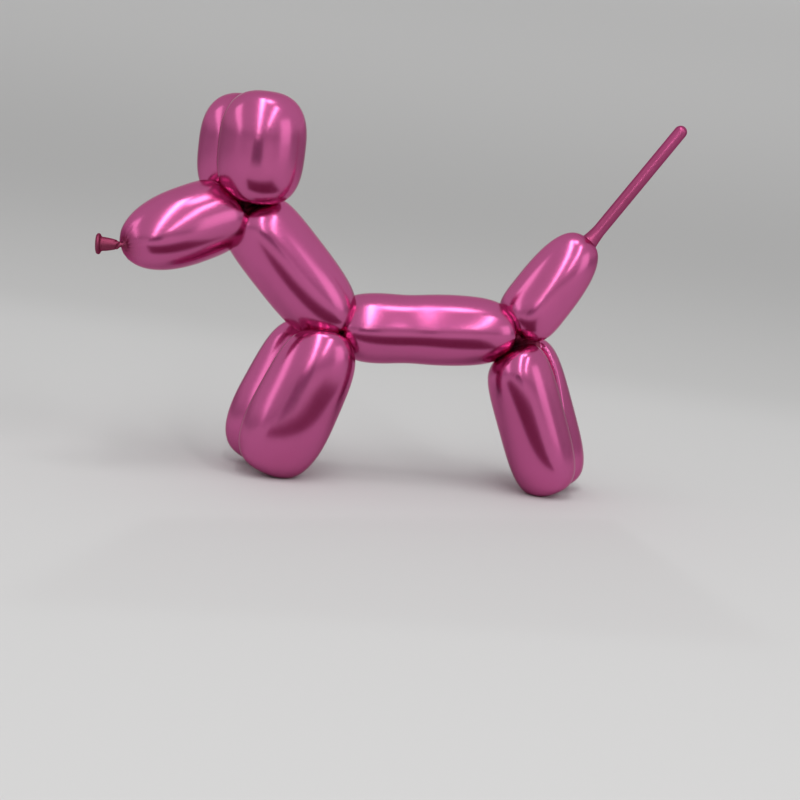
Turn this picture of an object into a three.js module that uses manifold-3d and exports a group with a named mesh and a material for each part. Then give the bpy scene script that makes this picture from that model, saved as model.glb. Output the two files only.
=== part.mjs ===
// A dog twisted from one long modelling balloon of metallic latex, standing on its four feet.
// Millimetres, +Z up, the nose towards -X and the feet on Z = 0. The balloon is sealed, so it is one solid.
// Its bubbles meet at twists, where they press each other flat.
import * as THREE from 'three';
import { mergeVertices } from 'three/addons/utils/BufferGeometryUtils.js';
import Module from 'manifold-3d';

const wasm = await Module();
wasm.setup();

// Where the balloon is twisted, in the upright plane through the dog's middle, and where it is tied
const twists = {
  knot: new THREE.Vector3(-185, -36, 148.5),
  head: new THREE.Vector3(-112, 0, 174),
  shoulder: new THREE.Vector3(-34.5, 0, 100),
  hip: new THREE.Vector3(99.5, 0, 107.5),
  tailRoot: new THREE.Vector3(138.5, 0, 180.5),
};

// Free size of each single bubble, before its neighbours press on it: its middle in X and Z, the tilt of its
// long axis in degrees, how blunt its ends are, and the twists that it shares with other bubbles. The nose is
// swung about its twist, towards the near side.
const nose = {
  shares: ['head'],
  x: -144,
  z: 164.5,
  tilt: 20,
  length: 104.5,
  width: 52,
  depth: 51,
  bluntness: 2,
  swing: 26,
};
const neck = {
  shares: ['head', 'shoulder'],
  x: -72,
  z: 143,
  tilt: -46,
  length: 131.5,
  width: 53.5,
  depth: 57,
  bluntness: 3,
};
const trunk = {
  shares: ['shoulder', 'hip'],
  x: 23.5,
  z: 106.5,
  tilt: 4,
  length: 132,
  width: 49.5,
  depth: 52,
  bluntness: 4.4,
};
const tail = {
  shares: ['hip'],
  x: 107,
  z: 133,
  tilt: 58,
  length: 112,
  width: 42.5,
  depth: 44,
  bluntness: 2.6,
};

// The ears and legs are pairs, a near and a far bubble side by side. A pair is turned about Z, and its far
// bubble is slipped along it. The front legs taper towards the top.
const ears = {
  shares: ['head'],
  x: -105,
  z: 220.5,
  tilt: 89.5,
  length: 72,
  width: 59,
  depth: 49,
  bluntness: 2.6,
  turn: 15,
  spacing: 35,
  slip: -4,
};
const forelegs = {
  shares: ['shoulder'],
  x: -60,
  z: 52,
  tilt: 70,
  length: 106.5,
  width: 59,
  depth: 44.5,
  bluntness: 3,
  taper: 0.05,
  turn: 7.5,
  spacing: 37,
  slip: 0,
};
const hindLegs = {
  shares: ['hip'],
  x: 116,
  z: 51.5,
  tilt: 113,
  length: 106.5,
  width: 47.5,
  depth: 51.5,
  bluntness: 3.8,
  turn: -29,
  spacing: 29,
  slip: 0,
};

const contactSharpness = 16; // how sharply a bubble's round skin turns into a flat contact
const pressOverlap = 2; // how far pressed bubbles run into each other, so that they join
const twistRadius = 8; // latex gathered where bubbles meet
const drawnRadius = 6; // the strand that each bubble is drawn into at a twist
const stepsAround = 22;
const stepsAlong = 15;

// The end of the balloon that was never blown up
const tailTip = new THREE.Vector3(194.5, 0, 265);
const tailRadius = 4.7;

// The mouth outside the knot, measured out from the knot, with its turn towards the far side and its slope
const nozzle = {
  turn: 12,
  slope: -4,
  strandRadius: 2,
  strandLength: 3,
  tubeRadius: 4.4,
  tubeStart: 7.5,
  boreRadius: 3.4,
  boreStart: 9.5,
  rimRadius: 6.8,
  beadRadius: 1.4,
  length: 18,
};
const roundSides = 16;

const latex = new THREE.MeshStandardMaterial({ color: 0xa34a7c, roughness: 0.3, metalness: 0.85 });

const upward = new THREE.Vector3(0, 0, 1);

function placed(size, side) {
  const tilt = THREE.MathUtils.degToRad(size.tilt);
  const turn = THREE.MathUtils.degToRad(size.turn ?? 0);
  const axis = new THREE.Vector3(Math.cos(tilt), 0, Math.sin(tilt));
  const across = new THREE.Vector3(-Math.sin(turn), Math.cos(turn), 0);
  const centre = new THREE.Vector3(size.x, 0, size.z);
  centre.addScaledVector(across, (side * (size.spacing ?? 0)) / 2);
  if (side > 0) {
    centre.addScaledVector(axis, size.slip);
  }
  if (size.swing) {
    const pivot = twists[size.shares[0]];
    const swing = THREE.MathUtils.degToRad(size.swing);
    centre.sub(pivot).applyAxisAngle(upward, swing).add(pivot);
    axis.applyAxisAngle(upward, swing);
    across.applyAxisAngle(upward, swing);
  }
  const deep = across.clone().addScaledVector(axis, -across.dot(axis)).normalize();
  const wide = new THREE.Vector3().crossVectors(deep, axis);
  return { ...size, centre, axis, deep, wide };
}

const bubbles = [nose, neck, trunk, tail].map((size) => placed(size, 0));
for (const size of [ears, forelegs, hindLegs]) {
  const near = placed(size, -1);
  const far = placed(size, 1);
  near.twin = far;
  far.twin = near;
  bubbles.push(near, far);
}

// Where a bubble meets another: a plane through a point, that halves the angle between their directions
function contactPlane(bubble, other, point) {
  const inward = bubble.centre.clone().sub(point);
  const otherWay = other.centre.clone().sub(point);
  const normal = inward.clone().normalize().sub(otherWay.normalize()).normalize();
  return { normal, reach: inward.dot(normal) + pressOverlap };
}

// The twins of a pair meet midway, and bubbles that share a twist meet at it
function contactPlanes(bubble) {
  const planes = [];
  if (bubble.twin) {
    const midway = bubble.centre.clone().lerp(bubble.twin.centre, 0.5);
    planes.push(contactPlane(bubble, bubble.twin, midway));
  }
  for (const name of bubble.shares) {
    const others = bubbles.filter((other) => other.shares.includes(name));
    for (const other of others) {
      if (other !== bubble && other !== bubble.twin) {
        planes.push(contactPlane(bubble, other, twists[name]));
      }
    }
  }
  return planes;
}

// Distance from a bubble's centre to its skin: a superellipsoid, softly held back by its contact planes
function skinDistance(bubble, planes, direction) {
  const along = Math.abs(direction.dot(bubble.axis)) / (bubble.length / 2);
  const deep = direction.dot(bubble.deep) / (bubble.depth / 2);
  const wide = direction.dot(bubble.wide) / (bubble.width / 2);
  const slimming = 1 - (bubble.taper ?? 0) * direction.dot(bubble.axis);
  const free = along ** bubble.bluntness + (Math.hypot(deep, wide) / slimming) ** bubble.bluntness;
  let closeness = free ** (contactSharpness / bubble.bluntness);
  for (const plane of planes) {
    const pressed = Math.max(-direction.dot(plane.normal) / plane.reach, 0);
    closeness += pressed ** contactSharpness;
  }
  return closeness ** (-1 / contactSharpness);
}

// A sphere whose points are carried out to the skin, with its poles on the bubble's long axis
function bubbleGeometry(bubble) {
  const planes = contactPlanes(bubble);
  const geometry = new THREE.SphereGeometry(1, stepsAround, stepsAlong);
  const position = geometry.getAttribute('position');
  const onSphere = new THREE.Vector3();
  const direction = new THREE.Vector3();
  for (let i = 0; i < position.count; i += 1) {
    onSphere.fromBufferAttribute(position, i);
    direction.set(0, 0, 0);
    direction.addScaledVector(bubble.deep, onSphere.x * bubble.depth);
    direction.addScaledVector(bubble.axis, onSphere.y * bubble.length);
    direction.addScaledVector(bubble.wide, onSphere.z * bubble.width);
    direction.normalize();
    const point = bubble.centre.clone();
    point.addScaledVector(direction, skinDistance(bubble, planes, direction));
    position.setXYZ(i, point.x, point.y, point.z);
  }
  return geometry;
}

// A round piece turned about Y, laid along a direction from its start
function turned(profile, start, direction) {
  const geometry = new THREE.LatheGeometry(profile, roundSides);
  const lathe = new THREE.Vector3(0, 1, 0);
  geometry.applyQuaternion(new THREE.Quaternion().setFromUnitVectors(lathe, direction));
  return geometry.translate(start.x, start.y, start.z);
}

function arc(x, y, radius, from, to, steps) {
  const points = [];
  for (let i = 0; i <= steps; i += 1) {
    const angle = THREE.MathUtils.degToRad(THREE.MathUtils.lerp(from, to, i / steps));
    points.push(new THREE.Vector2(x + radius * Math.cos(angle), y + radius * Math.sin(angle)));
  }
  return points;
}

// A thin strand out of the knot widens into a short open tube with a rolled rim
function nozzleGeometry() {
  const turn = THREE.MathUtils.degToRad(nozzle.turn);
  const slope = THREE.MathUtils.degToRad(nozzle.slope);
  const direction = new THREE.Vector3(-Math.cos(turn), Math.sin(turn), Math.tan(slope)).normalize();
  const beadX = nozzle.rimRadius - nozzle.beadRadius;
  const beadY = nozzle.length - nozzle.beadRadius;
  const profile = [
    new THREE.Vector2(0, -nozzle.strandLength),
    new THREE.Vector2(nozzle.strandRadius, -nozzle.strandLength),
    new THREE.Vector2(nozzle.strandRadius, nozzle.strandLength),
    new THREE.Vector2(nozzle.tubeRadius, nozzle.tubeStart),
    new THREE.Vector2(nozzle.tubeRadius, beadY - nozzle.beadRadius),
    ...arc(beadX, beadY, nozzle.beadRadius, -90, 90, 6),
    new THREE.Vector2(nozzle.boreRadius, nozzle.length),
    new THREE.Vector2(nozzle.boreRadius, nozzle.boreStart),
    new THREE.Vector2(0, nozzle.boreStart),
  ];
  return turned(profile, twists.knot, direction);
}

// A straight strand with a rounded tip, rooted inside the tail's bubble
function strandGeometry() {
  const run = tailTip.clone().sub(twists.tailRoot);
  const roundStart = run.length() - tailRadius;
  const profile = [
    new THREE.Vector2(0, -tailRadius),
    new THREE.Vector2(tailRadius, -tailRadius),
    ...arc(0, roundStart, tailRadius, 0, 75, 4),
    new THREE.Vector2(0, run.length()),
  ];
  return turned(profile, twists.tailRoot, run.normalize());
}

// The strand from a twist to the middle of a bubble, which shows only where the bubble stops short of the twist
function drawnGeometry(bubble, place) {
  const run = bubble.centre.clone().sub(place);
  const profile = [
    new THREE.Vector2(0, 0),
    new THREE.Vector2(drawnRadius, 0),
    new THREE.Vector2(drawnRadius, run.length()),
    new THREE.Vector2(0, run.length()),
  ];
  return turned(profile, place, run.normalize());
}

function twistGeometry(place) {
  const geometry = new THREE.SphereGeometry(twistRadius, roundSides, roundSides / 2);
  return geometry.translate(place.x, place.y, place.z);
}

function floorGeometry() {
  const side = 1000;
  return new THREE.BoxGeometry(side, side, side).translate(0, 0, -side / 2);
}

function toSolid(geometry) {
  geometry.deleteAttribute('normal');
  geometry.deleteAttribute('uv');
  const merged = mergeVertices(geometry, 1e-3);
  const vertProperties = new Float32Array(merged.getAttribute('position').array);
  const triVerts = new Uint32Array(merged.getIndex().array);
  return new wasm.Manifold(new wasm.Mesh({ numProp: 3, vertProperties, triVerts }));
}

function toGeometry(body) {
  const mesh = body.getMesh();
  const geometry = new THREE.BufferGeometry();
  geometry.setAttribute('position', new THREE.BufferAttribute(mesh.vertProperties, 3));
  geometry.setIndex(new THREE.BufferAttribute(mesh.triVerts, 1));
  geometry.computeVertexNormals();
  return geometry;
}

// The whole balloon, its feet pressed flat on the floor
function dogGeometry() {
  const pieces = bubbles.map(bubbleGeometry);
  pieces.push(nozzleGeometry(), strandGeometry());
  for (const name of ['head', 'shoulder', 'hip']) {
    pieces.push(twistGeometry(twists[name]));
    const joining = bubbles.filter((bubble) => bubble.shares.includes(name));
    for (const bubble of joining) {
      pieces.push(drawnGeometry(bubble, twists[name]));
    }
  }
  const solids = pieces.map(toSolid);
  const joined = solids.reduce((body, piece) => body.add(piece));
  return toGeometry(joined.subtract(toSolid(floorGeometry())));
}

// The origin goes on the floor, under the middle of the whole figure
const dog = new THREE.Mesh(dogGeometry(), latex);
dog.name = 'balloon_dog';
dog.geometry.computeBoundingBox();
const middle = dog.geometry.boundingBox.getCenter(new THREE.Vector3());
dog.position.set(-middle.x, -middle.y, 0);

const part = new THREE.Group();
part.add(dog);

export default part;
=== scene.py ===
import math

import bpy
import numpy as np
from mathutils import Matrix, Vector


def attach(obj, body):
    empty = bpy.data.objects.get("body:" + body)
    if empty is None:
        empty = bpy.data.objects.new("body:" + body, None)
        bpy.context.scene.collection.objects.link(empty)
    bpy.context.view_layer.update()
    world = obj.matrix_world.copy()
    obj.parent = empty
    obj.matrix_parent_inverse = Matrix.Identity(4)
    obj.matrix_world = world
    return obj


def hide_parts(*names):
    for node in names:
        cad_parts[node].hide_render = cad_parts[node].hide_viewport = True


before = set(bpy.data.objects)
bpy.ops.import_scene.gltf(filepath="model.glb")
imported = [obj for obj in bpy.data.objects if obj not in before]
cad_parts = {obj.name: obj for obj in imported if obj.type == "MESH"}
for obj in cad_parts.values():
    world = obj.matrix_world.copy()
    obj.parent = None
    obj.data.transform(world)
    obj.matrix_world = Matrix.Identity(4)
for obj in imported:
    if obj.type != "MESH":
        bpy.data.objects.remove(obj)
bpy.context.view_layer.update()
scene = bpy.context.scene


# The camera stands towards the nose's end and a little above the dog, and it is held slightly askew

cameraSpot = {
    "place": (-0.2699, -1.2644, 0.2796),
    "turn": -12.9,  # degrees, 0 looks along +Y
    "pitch": 80.24,  # degrees, 90 looks level
    "roll": 7.0,
    "lens": 85.5,
    "sensor": 36.0,
}

cameraData = bpy.data.cameras.new("camera")
cameraData.lens = cameraSpot["lens"]
cameraData.sensor_width = cameraSpot["sensor"]
camera = bpy.data.objects.new("camera", cameraData)
camera.matrix_world = (Matrix.Translation(cameraSpot["place"])
                       @ Matrix.Rotation(math.radians(cameraSpot["turn"]), 4, "Z")
                       @ Matrix.Rotation(math.radians(cameraSpot["pitch"]), 4, "X")
                       @ Matrix.Rotation(math.radians(cameraSpot["roll"]), 4, "Z"))
scene.collection.objects.link(camera)
scene.camera = camera
print("camera set")


# The balloon, in millimetres before its middle is put over the origin. It is one skin from its mouth to its
# tip, so it is one grid: rows along the balloon, columns round it.

balloon = {
    "middle": (-3.6, -1.93, 0.0),
    "columns": 96,
    "bubbleRows": 72,
    "bridgeRows": 8,
    "contactSharpness": 9.0,
    "twinSharpness": 40.0,
    "press": 6.8,  # how far a bubble gives way less than its half of a contact
    "drawnLength": 1.08,  # an end that is drawn into a twist is a little longer than a free end
    "ringRadius": 10.0,  # where a bubble's skin turns into the funnel that leads to a twist
    "tipRing": 3.0,  # the same, where the twins of a pair meet at their free end
    "tailRing": 6.0,
    "twistRadius": 9.0,
    "foldDepth": 0.15,
    "foldReach": 4.0,
    "tailFolds": 0.3,  # share of the folds at the tail's tip
    "knotDimple": (1.6, 3.5),  # depth, reach
    "slackReach": 10.0,  # how far from a twist the latex stays thick and dull
}

twistPlaces = {
    "knot": (-185, -36, 148.5),
    "head": (-112, 0, 174),
    "earTip": (-104.5, 0, 248),
    "shoulder": (-34.5, 0, 98.2),
    "frontFoot": (-74.5, 0, 12),
    "hip": (99.5, 0, 107.5),
    "hindFoot": (132.5, 0, 12.5),
    "tailRoot": (138.5, 0, 180.5),
}
twistPlaces = {name: np.array(place, float) for name, place in twistPlaces.items()}

# x and z of the middle, tilt of the long axis in degrees, sizes, how blunt the ends are, twists that are shared.
# The nose is swung about its twist towards the near side, the trunk a little about its middle, a pair is turned
# about Z, and the front legs taper.
bubbleSizes = {
    "nose": dict(shares=("head",), x=-144, z=164.5, tilt=20, length=104.5, width=52, depth=51, blunt=2.25,
                 drawnBlunt=2.7, pivot="head", swing=26),
    "neck": dict(shares=("head", "shoulder"), x=-72, z=143, tilt=-46, length=131.5, width=53.5, depth=57, blunt=3.0,
                 drawnBlunt=2.8),
    "trunk": dict(shares=("shoulder", "hip"), x=23.5, z=106.5, tilt=4, length=132, width=49.5, depth=52, blunt=4.4,
                  drawnBlunt=3.6, swing=-3, waist=(0.045, -8, 16)),
    "tail": dict(shares=("hip",), x=106, z=133.6, tilt=58, length=111, width=44.8, depth=44, blunt=2.8,
                 drawnHalf=31, drawnBlunt=2.8),
    "ear": dict(shares=("head",), x=-105, z=220.5, tilt=89.5, length=72, width=59, depth=49, blunt=2.6,
                drawnBlunt=2.95, turn=15, spacing=35, slip=-4),
    "foreleg": dict(shares=("shoulder",), x=-60, z=52, tilt=70, length=106.5, width=59, depth=44.5, blunt=3.0,
                    taper=0.05, turn=7.5, spacing=37, slip=0),
    "hindLeg": dict(shares=("hip",), x=116, z=51.5, tilt=113, length=106.5, width=47.5, depth=51.5, blunt=3.8,
                    turn=-29, spacing=29, slip=0),
}

# the order in which the balloon was twisted: bubble, side of its pair, twist where it starts, twist where it ends
balloonRun = (
    ("nose", 0, "knot", "head"),
    ("ear", -1, "head", "earTip"),
    ("ear", 1, "earTip", "head"),
    ("neck", 0, "head", "shoulder"),
    ("foreleg", -1, "shoulder", "frontFoot"),
    ("foreleg", 1, "frontFoot", "shoulder"),
    ("trunk", 0, "shoulder", "hip"),
    ("hindLeg", -1, "hip", "hindFoot"),
    ("hindLeg", 1, "hindFoot", "hip"),
    ("tail", 0, "hip", "tailRoot"),
)


def unit(v):
    return v / np.linalg.norm(v, axis=-1, keepdims=True)


def turnAbout(v, axis, angle):  # turns v about a unit axis, by an angle in radians
    c, s = np.cos(angle), np.sin(angle)
    return v * c + np.cross(axis, v) * s + axis * np.sum(v * axis, -1, keepdims=True) * (1 - c)


def turnFromTo(v, start, end):  # turns v as start has to turn to point along end
    axis = np.cross(start, end)
    size = np.linalg.norm(axis)
    if size < 1e-6:
        return v
    return turnAbout(v, axis / size, math.atan2(size, float(start @ end)))


def placeBubble(name, side):
    size = bubbleSizes[name]
    tilt, turn = math.radians(size["tilt"]), math.radians(size.get("turn", 0))
    axis = np.array([math.cos(tilt), 0, math.sin(tilt)])
    across = np.array([-math.sin(turn), math.cos(turn), 0])
    centre = np.array([size["x"], 0, size["z"]], float) + across * side * size.get("spacing", 0) / 2
    if side > 0:
        centre = centre + axis * size["slip"]
    if "swing" in size:
        swing, upward = math.radians(size["swing"]), np.array([0, 0, 1.0])
        pivot = twistPlaces[size["pivot"]] if "pivot" in size else centre
        centre = pivot + turnAbout(centre - pivot, upward, swing)
        axis, across = turnAbout(axis, upward, swing), turnAbout(across, upward, swing)
    deep = unit(across - axis * (across @ axis))
    freeEnd = (size["length"] / 2, size["blunt"])
    drawnEnd = (size.get("drawnHalf", freeEnd[0] * balloon["drawnLength"]), size.get("drawnBlunt", size["blunt"]))
    ends = {}
    for way in (-1, 1):
        drawn = any((twistPlaces[twist] - centre) @ axis * way > 0 for twist in size["shares"])
        ends[way] = drawnEnd if drawn else freeEnd
    return dict(size, name=name, side=side, centre=centre, axis=axis, deep=deep, wide=np.cross(deep, axis), ends=ends)


bubbles = {(name, side): placeBubble(name, side) for name, side, start, end in balloonRun}


# Planes that hold a bubble back: midway to its twin, and at a twist halving the angle to each bubble that shares it
def contactPlanes(bubble):
    planes = []
    for other in bubbles.values():
        if other is bubble:
            continue
        if other["name"] == bubble["name"]:
            between = bubble["centre"] - other["centre"]
            planes.append((unit(between), np.linalg.norm(between) / 2, balloon["twinSharpness"]))
            continue
        for twist in set(bubble["shares"]) & set(other["shares"]):
            inward = bubble["centre"] - twistPlaces[twist]
            normal = unit(unit(inward) - unit(other["centre"] - twistPlaces[twist]))
            planes.append((normal, inward @ normal + balloon["press"], balloon["contactSharpness"]))
    return planes


# Distance from the centre to the skin: the closeness of the superellipsoid and of each plane are added as high
# powers, so that whichever is nearer holds the skin, and the change between them is rounded
def skinDistance(bubble, planes, way):
    onward = way @ bubble["axis"]
    half, blunt = (np.where(onward > 0, ahead, behind) for ahead, behind in zip(bubble["ends"][1], bubble["ends"][-1]))
    along = np.abs(onward) / half
    girth = np.hypot(way @ bubble["deep"] / (bubble["depth"] / 2), way @ bubble["wide"] / (bubble["width"] / 2))
    girth = girth / (1 - bubble.get("taper", 0) * onward)
    closeness = (along**blunt + girth**blunt) ** (1 / blunt)
    for normal, reach, sharpness in planes:
        pressed = np.maximum(-(way @ normal) / reach, 0)
        closeness = (closeness**sharpness + pressed**sharpness) ** (1 / sharpness)
    return 1 / closeness


# Two parameters, from the start twist to the end twist and round: directions on a sphere stretched like the bubble,
# its poles bent towards the twists, each carried out to the skin. Folds fan out of a twist and fade, and the skin
# is drawn in a little at it.
def bubbleSkin(bubble, startTwist, endTwist, startRing, endRing, seed):
    planes = contactPlanes(bubble)
    startWay = unit(twistPlaces[startTwist] - bubble["centre"])
    endWay = unit(twistPlaces[endTwist] - bubble["centre"])
    axis = bubble["axis"] if (endWay - startWay) @ bubble["axis"] > 0 else -bubble["axis"]
    beside = np.cross(axis, bubble["deep"])
    halfWidth = bubble["width"] / 2
    along = np.linspace(startRing / halfWidth, math.pi - endRing / halfWidth, balloon["bubbleRows"])[:, None, None]
    around = (np.arange(balloon["columns"]) / balloon["columns"] * 2 * math.pi)[None, :, None]
    ring = np.cos(around) * bubble["deep"] * bubble["depth"] + np.sin(around) * beside * bubble["width"]
    way = unit(-np.cos(along) * axis * bubble["length"] + np.sin(along) * ring)
    nearStart, nearEnd = ((1 + np.cos(along)) / 2) ** 3, ((1 - np.cos(along)) / 2) ** 3
    way = unit(way + nearStart * (startWay + axis) + nearEnd * (endWay - axis))
    skin = skinDistance(bubble, planes, way)
    points = bubble["centre"] + way * skin[..., None]
    if "waist" in bubble:  # slimmer by a share of its girth, as a bell curve of the place along it
        share, middle, reach = bubble["waist"]
        offset = points - bubble["centre"]
        onward = (offset @ bubble["axis"])[..., None]
        core = onward * bubble["axis"]
        points = bubble["centre"] + core + (offset - core) * (1 - share * np.exp(-(((onward - middle) / reach) ** 2)))
    stretch = np.ones_like(skin)
    inward = np.zeros_like(skin)
    for pole, twist in ((startWay, startTwist), (endWay, endTwist)):
        tip = bubble["centre"] + pole * skinDistance(bubble, planes, pole)
        away = np.linalg.norm(points - tip, axis=-1)
        fan = np.cos(13 * around[..., 0] + seed) + 0.6 * np.cos(19 * around[..., 0] + 2.3 * seed)
        fade = away / balloon["foldReach"] * np.exp(1 - away / balloon["foldReach"])
        inward += balloon["foldDepth"] * fan * fade * (balloon["tailFolds"] if twist == "tailRoot" else 1)
        stretch *= 1 - 0.9 * np.exp(-((away / balloon["slackReach"]) ** 2))
        if twist == "knot":
            depth, reach = balloon["knotDimple"]
            inward += depth * np.exp(-((away / reach) ** 2))
        seed += 1.7
    points -= way * inward[..., None]
    points[..., 2] = np.maximum(points[..., 2], 0)
    return points, stretch


# Rows between two rings: a cubic for each column, from one ring and its slope to the other and its slope
def cubicRows(ring0, slope0, ring1, slope1, count):
    t = (np.arange(1, count + 1) / (count + 1))[:, None, None]
    return ((2 * t**3 - 3 * t**2 + 1) * ring0 + (t**3 - 2 * t**2 + t) * slope0
            + (3 * t**2 - 2 * t**3) * ring1 + (t**3 - t**2) * slope1)


def bestRoll(ring0, way0, ring1, way1):  # columns that ring1 has to go round by to lie as ring0 does
    off0 = turnFromTo(ring0 - ring0.mean(0), way0, way1)
    off1 = ring1 - ring1.mean(0)
    return int(np.argmax([np.sum(off0 * np.roll(off1, k, 0)) for k in range(len(ring1))]))


# Two bubbles are joined by a twisted neck of skin: a funnel down to a small ring at the twist, and out again
def twistRows(before, after, place, count):
    ring0, ring1 = before[-1], after[0]
    middle0, middle1 = ring0.mean(0), ring1.mean(0)
    way0, way1 = unit(place - middle0), unit(middle1 - place)
    way = unit(way0 + way1)
    small = place + unit(turnFromTo(ring0 - middle0, way0, way)) * balloon["twistRadius"]
    drop0, drop1 = np.linalg.norm(place - middle0), np.linalg.norm(middle1 - place)
    down = cubicRows(ring0, (before[-1] - before[-2]) * 2, small, way0 * drop0, count)
    out = cubicRows(small, way1 * drop1, ring1, (after[1] - after[0]) * 2, count)
    return np.concatenate([down, small[None], out])


mouth = {
    "turn": 12.0,  # degrees, towards the far side
    "slope": -4.0,
    "length": 18.0,
    "rimRadius": 6.8,
    "beadRadius": 1.4,
    "tubeRadius": 4.6,
    "foldRadius": 3.3,
    "boreRadius": 3.4,
    "boreDepth": 6.5,
    "foldStart": 6.0,  # from the knot, where the tube starts to fold into the knot
    "neckRadius": 1.4,
    "foldDepth": 0.2,
    "foldTwist": 2.4,  # radians
}


# The open end outside the knot, a profile turned about its axis: bore, rolled rim, tube, then narrowing into three
# folds that are wound round each other
def mouthRows():
    turn, slope = math.radians(mouth["turn"]), math.radians(mouth["slope"])
    out = unit(np.array([-math.cos(turn), math.sin(turn), math.tan(slope)]))
    over = unit(np.array([0, 0, 1.0]) - out * out[2])
    side = np.cross(-out, over)
    bead, top = mouth["beadRadius"], mouth["length"]
    beadMiddle, beadHeight = mouth["rimRadius"] - bead, top - bead
    bottom = top - mouth["boreDepth"]
    curl = np.radians(np.linspace(130, -95, 22))
    height = np.concatenate([
        np.full(5, bottom),
        np.linspace(bottom, beadHeight + bead * 0.4, 10)[1:],
        beadHeight + bead * np.sin(curl),
        np.linspace(beadHeight - bead, mouth["foldStart"], 9)[1:],
        np.linspace(mouth["foldStart"], 1.5, 16)[1:],
    ])
    bore = mouth["boreRadius"]
    folding = np.linspace(0, 1, 16)[1:]
    radius = np.concatenate([
        np.linspace(0.25, 1, 5) * bore,
        np.linspace(bore, bore + 0.5, 10)[1:],
        beadMiddle + bead * np.cos(curl),
        mouth["tubeRadius"] - (mouth["tubeRadius"] - mouth["foldRadius"]) * np.linspace(0, 1, 9)[1:] ** 1.8,
        mouth["neckRadius"] + (mouth["foldRadius"] - mouth["neckRadius"]) * (1 - folding) ** 1.2,
    ])
    fold = np.concatenate([np.zeros(len(radius) - 15), folding])
    around = np.arange(balloon["columns"]) / balloon["columns"] * 2 * math.pi
    wound = (1 + mouth["foldDepth"] * np.sin(math.pi * fold[:, None])
             * np.cos(3 * (around + mouth["foldTwist"] * fold[:, None]) + 0.6))
    spread = radius[:, None] * wound
    points = (twistPlaces["knot"] + height[:, None, None] * out
              + spread[..., None] * (np.cos(around)[:, None] * over + np.sin(around)[:, None] * side))
    return points, np.zeros(points.shape[:2])


strand = {
    "tip": (194.5, 0, 265),
    "radius": 4.7,
    "start": 9.0,  # from the tail's twist, where the strand has its full thickness
    "rows": 36,
    "tipRows": 12,
    "stretch": 0.4,
}


# The end that was never blown up: a round profile carried along a nearly straight path, ending in half a ball
def strandRows():
    root, tip = twistPlaces["tailRoot"], np.array(strand["tip"], float)
    way = unit(tip - root)
    over = np.array([0, 1.0, 0])
    side = np.cross(way, over)
    length = np.linalg.norm(tip - root)
    straight = np.linspace(strand["start"], length - strand["radius"], strand["rows"])
    cap = np.linspace(0, math.pi / 2, strand["tipRows"] + 1)[1:-1]
    height = np.concatenate([straight, length - strand["radius"] + strand["radius"] * np.sin(cap)])
    radius = np.concatenate([np.full(len(straight), strand["radius"]), strand["radius"] * np.cos(cap)])
    around = np.arange(balloon["columns"]) / balloon["columns"] * 2 * math.pi
    points = (root + height[:, None, None] * way
              + (radius[:, None] * (1 + 0.03 * np.cos(2 * around + 0.5)))[..., None]
              * (np.cos(around)[:, None] * over + np.sin(around)[:, None] * side))
    return points, np.full(points.shape[:2], strand["stretch"]), tip


# All rows of the skin, in order, each bubble rolled so that its columns follow on from those before it
def balloonRows():
    points, stretch = mouthRows()
    seed = 0.4
    endRing = dict.fromkeys(twistPlaces, balloon["ringRadius"])
    endRing.update(knot=balloon["tipRing"], earTip=balloon["tipRing"], frontFoot=balloon["tipRing"],
                   hindFoot=balloon["tipRing"], tailRoot=balloon["tailRing"])
    for name, side, start, end in balloonRun:
        skin, slack = bubbleSkin(bubbles[name, side], start, end, endRing[start], endRing[end], seed)
        wayIn = unit((points[-1] - points[-2]).mean(0))
        wayOn = unit((skin[1] - skin[0]).mean(0))
        roll = bestRoll(points[-1], wayIn, skin[0], wayOn)
        skin, slack = np.roll(skin, roll, 1), np.roll(slack, roll, 1)
        if start == "knot":
            neck = cubicRows(points[-1], (points[-1] - points[-2]) * 3, skin[0], (skin[1] - skin[0]) * 3, 5)
        else:
            neck = twistRows(points, skin, twistPlaces[start], balloon["bridgeRows"])
        points = np.concatenate([points, neck, skin])
        stretch = np.concatenate([stretch, np.full(neck.shape[:2], 0.05), slack])
        seed += 0.9
    end, slack, tip = strandRows()
    roll = bestRoll(points[-1], unit((points[-1] - points[-2]).mean(0)), end[0], unit((end[1] - end[0]).mean(0)))
    end = np.roll(end, roll, 1)
    funnel = cubicRows(points[-1], (points[-1] - points[-2]) * 1.5, end[0], (end[1] - end[0]) * 3, 8)
    fade = np.linspace(stretch[-1].mean(), strand["stretch"], 8)[:, None] * np.ones(balloon["columns"])
    points = np.concatenate([points, funnel, end])
    stretch = np.concatenate([stretch, fade, slack])
    first = points[0].mean(0)
    return points, stretch, first, tip


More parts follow.
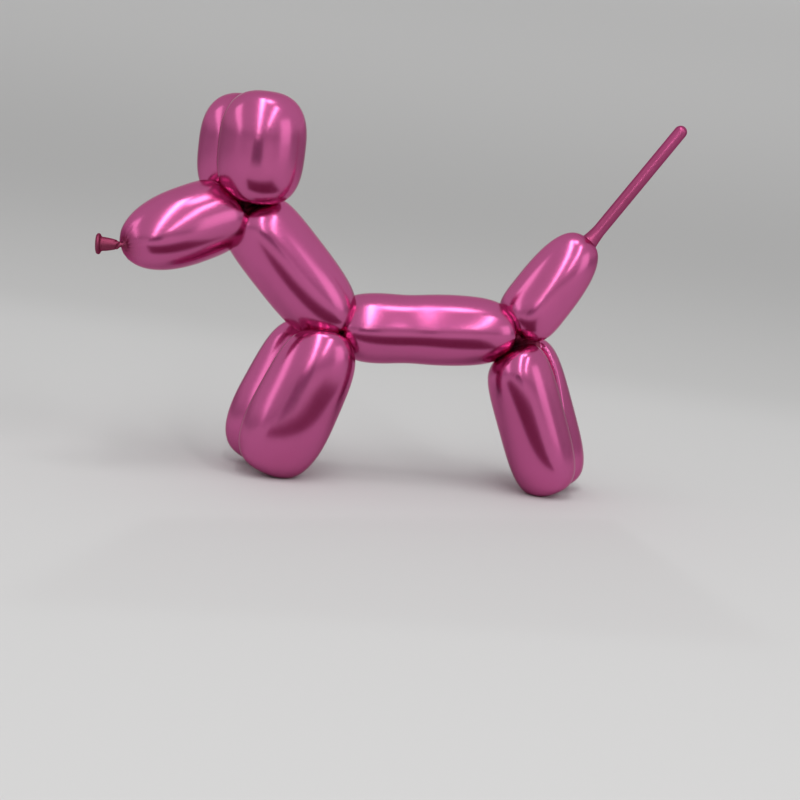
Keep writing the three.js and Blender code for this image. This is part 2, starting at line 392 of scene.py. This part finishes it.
# A closed grid: quads between the rows, wrapped round, and a fan of triangles at each end
def gridMesh(name, rows, first, last, perPoint, scale):
    count, columns = rows.shape[:2]
    vertices = np.concatenate([rows.reshape(-1, 3), first[None], last[None]]) * scale
    row, column = np.meshgrid(np.arange(count - 1), np.arange(columns), indexing="ij")
    onward = (column + 1) % columns
    quads = np.stack([row * columns + column, row * columns + onward,
                      (row + 1) * columns + onward, (row + 1) * columns + column], -1).reshape(-1, 4)
    ring = np.arange(columns)
    following = (ring + 1) % columns
    endRow = (count - 1) * columns
    fans = np.concatenate([
        np.stack([following, ring, np.full(columns, count * columns)], -1),
        np.stack([endRow + ring, endRow + following, np.full(columns, count * columns + 1)], -1),
    ])
    mesh = bpy.data.meshes.new(name)
    mesh.from_pydata(vertices.tolist(), [], quads.tolist() + fans.tolist())
    for key, values in perPoint.items():
        ends = [values[0].mean(), values[-1].mean()]
        attribute = mesh.attributes.new(key, "FLOAT", "POINT")
        attribute.data.foreach_set("value", np.concatenate([values.ravel(), ends]).astype(np.float32))
    mesh.polygons.foreach_set("use_smooth", np.ones(len(mesh.polygons), bool))
    step = np.linalg.norm(np.diff(rows, axis=0), axis=-1).mean(1)
    along = np.concatenate([[0], np.cumsum(step)]) / 100.0
    quadU = np.stack([column, column + 1, column + 1, column], -1) / columns
    quadV = np.stack([along[row], along[row], along[row + 1], along[row + 1]], -1)
    fanU = np.stack([ring + 1, ring, ring + 0.5], -1) / columns
    fanV = np.zeros_like(fanU)
    uv = np.concatenate([
        np.stack([quadU, quadV], -1).reshape(-1, 2),
        np.stack([fanU, fanV], -1).reshape(-1, 2),
        np.stack([fanU, fanV + along[-1]], -1).reshape(-1, 2),
    ])
    layer = mesh.uv_layers.new(name="skin")
    layer.data.foreach_set("uv", uv.astype(np.float32).ravel())
    mesh.update()
    return mesh


rows, stretch, firstPoint, lastPoint = balloonRows()
middle = np.array(balloon["middle"])
skinMesh = gridMesh("balloon_skin", rows - middle, firstPoint - middle, lastPoint - middle, {"stretch": stretch}, 0.001)
dog = bpy.data.objects.new("balloon_skin", skinMesh)
scene.collection.objects.link(dog)
print("balloon skin:", len(rows), "rows,", sum(len(p.vertices) - 2 for p in skinMesh.polygons), "triangles")


class Wire:
    # a node's output, and sums on it add Math nodes
    def __init__(self, tree, socket=None):
        self.tree, self.socket = tree, socket

    def node(self, kind, settings=None, inputs=None, output=0):
        made = self.tree.nodes.new(kind)
        for key, value in (settings or {}).items():
            if key == "stops":
                while len(made.color_ramp.elements) < len(value):
                    made.color_ramp.elements.new(0.5)
                for element, (position, colour) in zip(made.color_ramp.elements, value):
                    element.position, element.color = position, colour
            else:
                setattr(made, key, value)
        for key, value in (inputs or {}).items():
            if isinstance(value, Wire):
                self.tree.links.new(value.socket, made.inputs[key])
            else:
                made.inputs[key].default_value = value
        return Wire(self.tree, made.outputs[output] if made.outputs else None)

    def output(self, name):  # another output of the same node
        return Wire(self.tree, self.socket.node.outputs[name])

    def sum(self, operation, first, second):
        return self.node("ShaderNodeMath", {"operation": operation}, {0: first, 1: second})

    def __add__(self, other):
        return self.sum("ADD", self, other)

    def __sub__(self, other):
        return self.sum("SUBTRACT", self, other)

    def __rsub__(self, other):
        return self.sum("SUBTRACT", other, self)

    def __mul__(self, other):
        return self.sum("MULTIPLY", self, other)

    __radd__ = __add__
    __rmul__ = __mul__


metallicLatex = {
    "stretched": (0.60, 0.096, 0.31, 1),
    "slack": (0.24, 0.042, 0.085, 1),
    "roughness": 0.225,
    "slackRoughness": 0.28,  # added where the latex is slack
    "coat": 0.8,
    "coatRoughness": 0.16,
    "edgeTint": (0.69, 0.28, 0.46, 1),  # the gloss darkens towards the edges, as it does on stretched latex
    "coatFade": 0.48,  # share of the coat that is lost at the edges
    "flakeScale": 3200.0,  # per metre
    "cloudScale": 22.0,
    "flakeTint": 0.12,
    "cloudTint": 0.35,
    "bumpDepth": 0.00006,
}


def latexMaterial():
    look = metallicLatex
    material = bpy.data.materials.new("metallic_latex")
    material.use_nodes = True
    tree = material.node_tree
    tree.nodes.clear()
    start = Wire(tree)
    place = start.node("ShaderNodeTexCoord", output="Object")
    stretched = start.node("ShaderNodeAttribute", {"attribute_name": "stretch"}, output="Fac")
    cloud = start.node("ShaderNodeTexNoise", None, {"Vector": place, "Scale": look["cloudScale"], "Detail": 3.0})
    flake = start.node("ShaderNodeTexNoise", None, {"Vector": place, "Scale": look["flakeScale"], "Detail": 1.0})
    tint = stretched * 0.92 + (cloud - 0.5) * look["cloudTint"] + (flake - 0.5) * look["flakeTint"]
    colour = start.node("ShaderNodeMix", {"data_type": "RGBA", "clamp_factor": True},
                        {"Factor": tint, "A": look["slack"], "B": look["stretched"]}, output="Result")
    rough = (1 - stretched) * look["slackRoughness"] + look["roughness"] + (cloud - 0.5) * 0.06
    bump = start.node("ShaderNodeBump", None,
                      {"Height": cloud * 0.7 + flake * 0.1, "Distance": look["bumpDepth"], "Strength": 0.5})
    facing = start.node("ShaderNodeLayerWeight", None, {"Blend": 0.5}, output="Facing")
    shader = start.node("ShaderNodeBsdfPrincipled", None, {
        "Base Color": colour, "Roughness": rough, "Metallic": 1.0, "Normal": bump, "Specular Tint": look["edgeTint"],
        "Coat Weight": stretched * stretched * (1 - facing * look["coatFade"]) * look["coat"],
        "Coat Roughness": look["coatRoughness"],
    })
    start.node("ShaderNodeOutputMaterial", None, {"Surface": shader})
    return material


dog.data.materials.append(latexMaterial())
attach(dog, "root")
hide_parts("balloon_dog")
print("latex set")


studio = {
    "floorRadius": 2.2,
    "wallRadius": 10.0,
    "wallHeight": 2.2,
    "paper": (0.57, 0.567, 0.565, 1),
    "backPaperShaded": (0.525, 0.522, 0.519, 1),
    "topPaperLit": (0.69, 0.687, 0.684, 1),
    "backWay": (0.33, 0.94),  # the paper is painted darker from the floor towards its back this way, as painted shade, then lighter towards its top, as painted light
    "backStart": 0.44,
    "backEnd": 0.72,
    "topStart": 1.5,
    "topEnd": 7.0,
    "room": (1.0, 1.0, 1.0, 1),
    "roomStrength": 0.64,
    "wallPaintedGlow": (0.25, 0.25, 0.25, 1),  # painted light: the top of the paper glows, so that it fades into the room
    "paintedGlowStart": 0.6,
}


# A paper sweep turned about Z: flat out to the floor's radius, then curving up like a quarter of an ellipse
def paperSweep():
    turns, steps = 96, 40
    flat = np.linspace(0.05, studio["floorRadius"], 12)
    climb = np.linspace(0, math.pi / 2, steps)[1:]
    across = np.concatenate([flat, studio["floorRadius"] + (studio["wallRadius"] - studio["floorRadius"]) * np.sin(climb)])
    height = np.concatenate([np.zeros(12), studio["wallHeight"] * (1 - np.cos(climb))])
    around = np.arange(turns) / turns * 2 * math.pi
    rows = np.stack([across[:, None] * np.cos(around), across[:, None] * np.sin(around),
                     height[:, None] * np.ones(turns)], -1)
    count = len(rows)
    row, column = np.meshgrid(np.arange(count - 1), np.arange(turns), indexing="ij")
    onward = (column + 1) % turns
    quads = np.stack([row * turns + column, (row + 1) * turns + column, (row + 1) * turns + onward,
                      row * turns + onward], -1).reshape(-1, 4).tolist()
    mesh = bpy.data.meshes.new("paper_sweep")
    mesh.from_pydata(rows.reshape(-1, 3).tolist(), [], quads + [list(range(turns))])
    mesh.polygons.foreach_set("use_smooth", np.ones(len(mesh.polygons), bool))
    paper = bpy.data.materials.new("paper")
    paper.use_nodes = True
    paper.node_tree.nodes.clear()
    start = Wire(paper.node_tree)
    place = start.node("ShaderNodeTexCoord", output="Object")
    split = start.node("ShaderNodeSeparateXYZ", None, {0: place})
    # painted shade and painted light: the paper's colour darkens towards its back and lightens again towards its top
    back = split * studio["backWay"][0] + split.output("Y") * studio["backWay"][1]
    behind = start.node("ShaderNodeMapRange", {"interpolation_type": "SMOOTHSTEP"},
                        {"Value": back, "From Min": studio["backStart"], "From Max": studio["backEnd"]})
    above = start.node("ShaderNodeMapRange", {"interpolation_type": "SMOOTHSTEP"},
                       {"Value": back, "From Min": studio["topStart"], "From Max": studio["topEnd"]})
    colour = start.node("ShaderNodeMix", {"data_type": "RGBA"},
                        {"Factor": behind, "A": studio["paper"], "B": studio["backPaperShaded"]}, output="Result")
    colour = start.node("ShaderNodeMix", {"data_type": "RGBA"},
                        {"Factor": above, "A": colour, "B": studio["topPaperLit"]}, output="Result")
    # painted light: the paper emits light, more of it towards its top
    high = start.node("ShaderNodeMapRange", {"interpolation_type": "SMOOTHSTEP"},
                      {"Value": split.output("Z"), "From Min": studio["paintedGlowStart"], "From Max": studio["wallHeight"]})
    paintedGlow = start.node("ShaderNodeMix", {"data_type": "RGBA"},
                      {"Factor": high, "A": (0, 0, 0, 1), "B": studio["wallPaintedGlow"]}, output="Result")
    shader = start.node("ShaderNodeBsdfPrincipled", None, {"Base Color": colour, "Roughness": 0.8,
                                                           "Emission Color": paintedGlow, "Emission Strength": 1.0})
    start.node("ShaderNodeOutputMaterial", None, {"Surface": shader})
    mesh.materials.append(paper)
    sweep = bpy.data.objects.new("paper_sweep", mesh)
    scene.collection.objects.link(sweep)


# A flat lamp that shines one way; its power is its brightness times its area times pi
def flatLamp(name, place, target, size, brightness):
    data = bpy.data.lights.new(name, "AREA")
    data.shape = "RECTANGLE"
    data.size, data.size_y = size
    data.energy = brightness * size[0] * size[1] * math.pi
    lamp = bpy.data.objects.new(name, data)
    lamp.location = place
    lamp.rotation_euler = (Vector(place) - Vector(target)).to_track_quat("Z", "Y").to_euler()
    scene.collection.objects.link(lamp)


# A long narrow lamp between two places, that shines about the given way
def stripLamp(name, start, end, way, width, brightness):
    start, end = Vector(start), Vector(end)
    data = bpy.data.lights.new(name, "AREA")
    data.shape = "RECTANGLE"
    data.size, data.size_y = width, (end - start).length
    data.energy = brightness * data.size * data.size_y * math.pi
    lamp = bpy.data.objects.new(name, data)
    along = (start - end).normalized()
    across = Vector(way).cross(along).normalized()
    turned = Matrix((across, along, across.cross(along))).transposed().to_4x4()
    lamp.matrix_world = Matrix.Translation((start + end) / 2) @ turned
    scene.collection.objects.link(lamp)


# A dark card that only shows in the gloss, as a studio flag does
def darkCard(name, corners, colour):
    mesh = bpy.data.meshes.new(name)
    mesh.from_pydata(corners, [], [(0, 1, 2, 3)])
    felt = bpy.data.materials.new(name)
    felt.use_nodes = True
    felt.node_tree.nodes["Principled BSDF"].inputs["Base Color"].default_value = colour
    felt.node_tree.nodes["Principled BSDF"].inputs["Roughness"].default_value = 0.9
    mesh.materials.append(felt)
    card = bpy.data.objects.new(name, mesh)
    card.visible_camera = card.visible_diffuse = card.visible_shadow = False
    scene.collection.objects.link(card)


stripLamps = {
    "strip_left": dict(start=(-0.1, 0.1, 2.25), end=(-0.96, -7.9, 0.95), way=(0, 0, -1), width=0.2, brightness=9.0),
    "strip_right": dict(start=(1.0, -0.85, 2.2), end=(1.27, -5.2, 1.65), way=(0, 0, -1), width=0.2, brightness=9.0),
    "soft_left": dict(start=(-1.83, 0.41, 1.8), end=(-4.65, -3.46, 0.9), way=(1, 0.4, -0.3), width=0.8, brightness=1.05),
}
flatLamps = {
    "soft_right": dict(place=(2.1, -1.4, 0.75), target=(0, 0, 0.2), size=(1.2, 1.3), brightness=0.8),
    "soft_top": dict(place=(0.34, -0.3, 2.3), target=(0.05, 0, 0.1), size=(0.4, 0.5), brightness=5.0),
}
darkCards = {
    "front_card": dict(colour=(0.06, 0.04, 0.05, 1), corners=[
        (-0.42, -1.1, 0.04), (0.07, -1.1, 0.04), (0.02, -1.1, 0.25), (-0.38, -1.1, 0.25)]),
    "floor_card": dict(colour=(0.15, 0.03, 0.07, 1), corners=[
        (-0.25, -0.34, 0.012), (0.17, -0.34, 0.012), (0.16, -0.075, 0.004), (-0.16, -0.155, 0.004)]),
}

paperSweep()
for name, lamp in stripLamps.items():
    stripLamp(name, **lamp)
for name, lamp in flatLamps.items():
    flatLamp(name, **lamp)
for name, card in darkCards.items():
    darkCard(name, **card)

world = bpy.data.worlds.new("studio")
scene.world = world
world.use_nodes = True
world.node_tree.nodes["Background"].inputs["Color"].default_value = studio["room"]
world.node_tree.nodes["Background"].inputs["Strength"].default_value = studio["roomStrength"]
scene.view_settings.view_transform = "Standard"
print("studio set")
